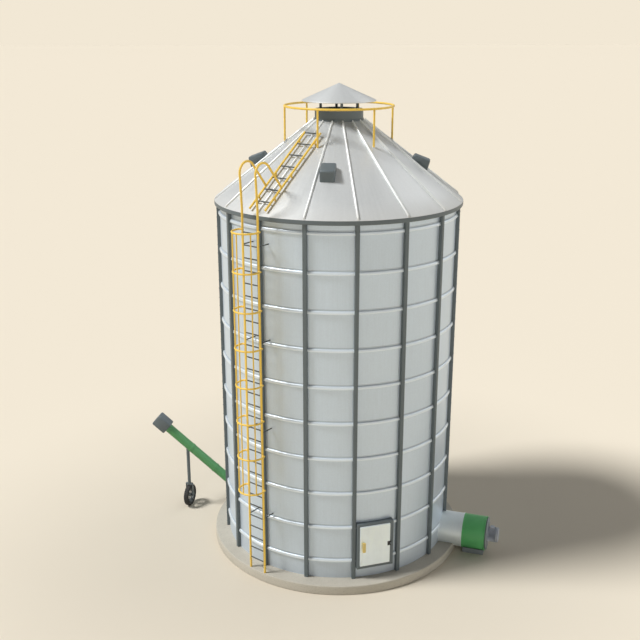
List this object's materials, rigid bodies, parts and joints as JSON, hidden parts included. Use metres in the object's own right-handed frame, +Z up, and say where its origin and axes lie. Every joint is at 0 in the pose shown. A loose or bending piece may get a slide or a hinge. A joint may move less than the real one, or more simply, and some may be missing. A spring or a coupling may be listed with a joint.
{
  "type": "grain silo",
  "caption": "Round ribbed steel grain silo with a cone roof and peak cap, caged ladder, access door, aeration fan and unloading auger, on a concrete pad.",
  "frame": {"origin": "centre of the concrete pad's underside, on the ground", "axes": "+Z up the silo's axis; the access door faces about -Y; +X is to the right of the door, seen from outside"},
  "size_m": [9.317, 6.79, 12.203],
  "materials": {
    "concrete": "cast concrete, matt, slightly stained",
    "galvanised": "light grey coated steel sheet, satin",
    "roof_sheet": "light grey coated steel sheet, satin",
    "dark_steel": "dark grey paint, satin",
    "safety_yellow": "yellow paint, satin",
    "green_paint": "green paint, satin",
    "door_paint": "off-white paint, satin",
    "rubber": "black rubber, matt"
  },
  "bodies": {
    "silo": {"concrete_pad": "concrete", "wall_front_right": "galvanised", "wall_right": "galvanised", "wall_back_right": "galvanised", "wall_back": "galvanised", "wall_back_left": "galvanised", "wall_left": "galvanised", "wall_front_left": "galvanised", "wall_left_of_door": "galvanised", "wall_right_of_door": "galvanised", "wall_over_door": "galvanised", "wall_under_door": "galvanised", "stiffener_post_01": "dark_steel", "stiffener_post_02": "dark_steel", "stiffener_post_03": "dark_steel", "stiffener_post_04": "dark_steel", "stiffener_post_05": "dark_steel", "stiffener_post_06": "dark_steel", "stiffener_post_07": "dark_steel", "stiffener_post_08": "dark_steel", "stiffener_post_09": "dark_steel", "stiffener_post_10": "dark_steel", "stiffener_post_11": "dark_steel", "stiffener_post_12": "dark_steel", "stiffener_post_13": "dark_steel", "stiffener_post_14": "dark_steel", "stiffener_post_15": "dark_steel", "stiffener_post_16": "dark_steel", "eave_band": "dark_steel", "roof": "roof_sheet", "peak_collar": "dark_steel", "peak_cap": "roof_sheet", "peak_handrail": "safety_yellow", "roof_vent_front": "dark_steel", "roof_vent_right": "dark_steel", "roof_vent_back": "dark_steel", "roof_vent_left": "dark_steel", "wall_ladder": "safety_yellow", "ladder_cage": "safety_yellow", "roof_ladder": "safety_yellow", "left_grab_rail": "safety_yellow", "right_grab_rail": "safety_yellow", "door_frame": "dark_steel", "door_hinge": "dark_steel", "fan_duct": "galvanised", "fan_drum": "green_paint", "fan_motor": "dark_steel", "fan_base": "dark_steel", "auger_tube": "green_paint", "auger_head": "dark_steel", "auger_leg": "dark_steel"},
    "access_door": {"door_panel": "door_paint", "door_handle": "safety_yellow"},
    "auger_wheel": {"auger_wheel_rim": "dark_steel", "auger_wheel_tyre": "rubber"}
  },
  "joints": [
    {"name": "access_door_hinge", "type": "hinge", "parent": "silo", "child": "access_door", "pos_m": [0.93911, -3.02688, 1.18], "axis": [0, 0, 1], "range_deg": [0, 110]},
    {"name": "auger_wheel_axle", "type": "hinge", "parent": "silo", "child": "auger_wheel", "pos_m": [-4.1364, 1.73878, 0.32], "axis": [-0.9219, 0.3875, 0], "continuous": true}
  ]
}
